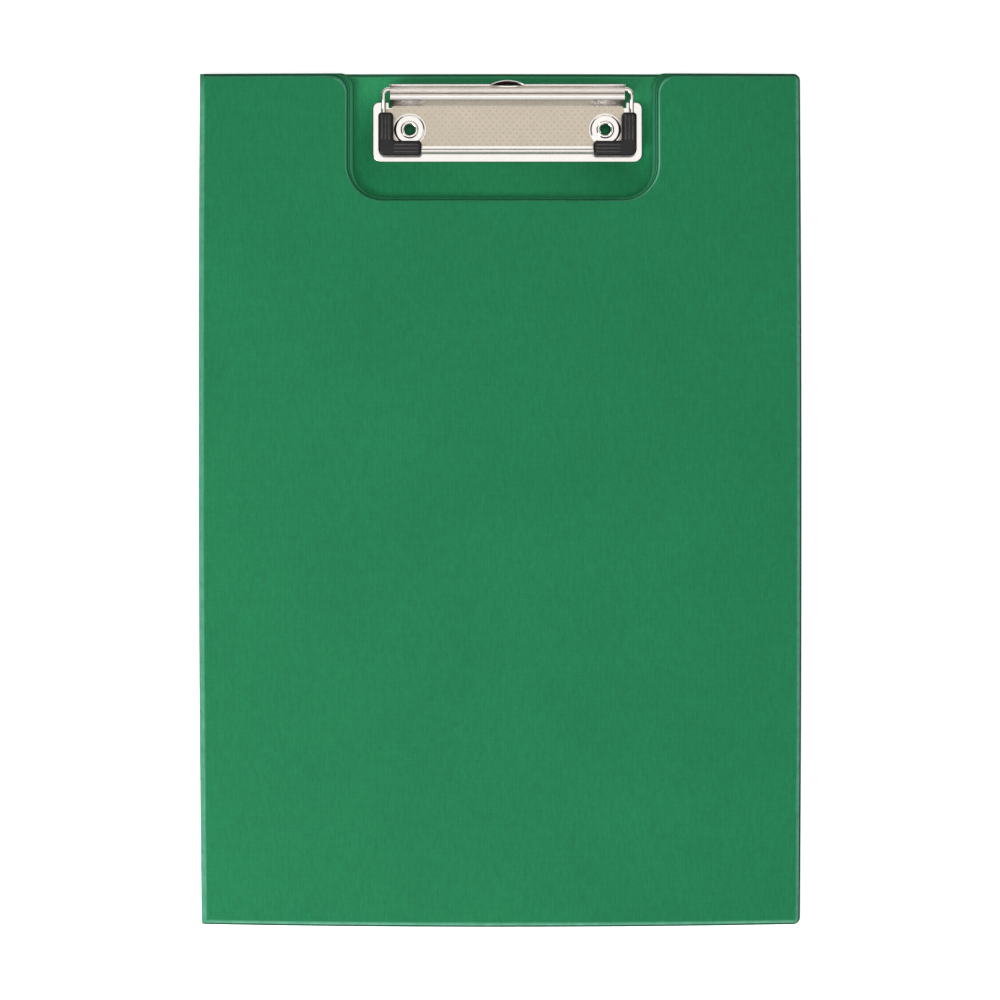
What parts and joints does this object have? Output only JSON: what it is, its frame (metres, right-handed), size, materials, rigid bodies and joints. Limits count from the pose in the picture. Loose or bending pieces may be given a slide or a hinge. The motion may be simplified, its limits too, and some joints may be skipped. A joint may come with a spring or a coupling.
{
  "type": "fold-over clipboard",
  "caption": "A4 clipboard with a fold-over foil-covered cover and a low wire clip showing through the cover's cut-out.",
  "frame": {"origin": "centre of the closed outline, on the underside of the back board", "axes": "+X from the spine to the free edge, +Y up the page to the clip, +Z out of the front cover"},
  "size_m": [0.226, 0.32, 0.0162],
  "materials": {
    "cover_foil": "linen-embossed soft PVC foil",
    "lining_foil": "linen-embossed soft PVC foil",
    "greyboard": "plain recycled board",
    "clear_foil": "thin clear foil",
    "nickel_steel": "nickel-plated pressed steel",
    "spring_wire": "nickel-plated spring wire",
    "black_plastic": "moulded, fine grain",
    "washer_steel": "zinc-plated"
  },
  "bodies": {
    "back": {"back_outer_skin": "cover_foil", "back_board_core": "greyboard", "back_inner_skin": "lining_foil", "clip_base_plate": "nickel_steel", "eyelet_left": "nickel_steel", "eyelet_right": "nickel_steel", "eyelet_washer_left": "washer_steel", "eyelet_washer_right": "washer_steel"},
    "spine": {"spine_outer_skin": "cover_foil", "spine_inner_skin": "lining_foil"},
    "cover": {"cover_outer_skin": "cover_foil", "cover_board_core": "greyboard", "cover_inner_skin": "lining_foil", "cover_pocket": "clear_foil"},
    "lever": {"clip_lever": "nickel_steel"},
    "bail": {"wire_bail": "spring_wire", "corner_grip_left": "black_plastic", "corner_grip_right": "black_plastic"}
  },
  "joints": [
    {"name": "spine_hinge", "type": "hinge", "parent": "back", "child": "spine", "pos_m": [-0.11245, 0, 0.00145], "axis": [0, -1, 0], "range_deg": [0, 180]},
    {"name": "cover_hinge", "type": "hinge", "parent": "spine", "child": "cover", "pos_m": [-0.11245, 0, 0.00485], "axis": [0, -1, 0], "range_deg": [0, 180]},
    {"name": "lever_hinge", "type": "hinge", "parent": "back", "child": "lever", "pos_m": [0.0028, 0.1507, 0.0076], "axis": [-1, 0, 0], "range_deg": [0, 70], "stiffness_Nm_per_rad": 0.03, "springref_deg": -11.46},
    {"name": "bail_hinge", "type": "hinge", "parent": "lever", "child": "bail", "pos_m": [0.0028, 0.1536, 0.0076], "axis": [-1, 0, 0], "range_deg": [-50, 0]}
  ],
  "couplings": [
    {"joint": "bail_hinge", "follows": "lever_hinge", "ratio": -0.714}
  ]
}
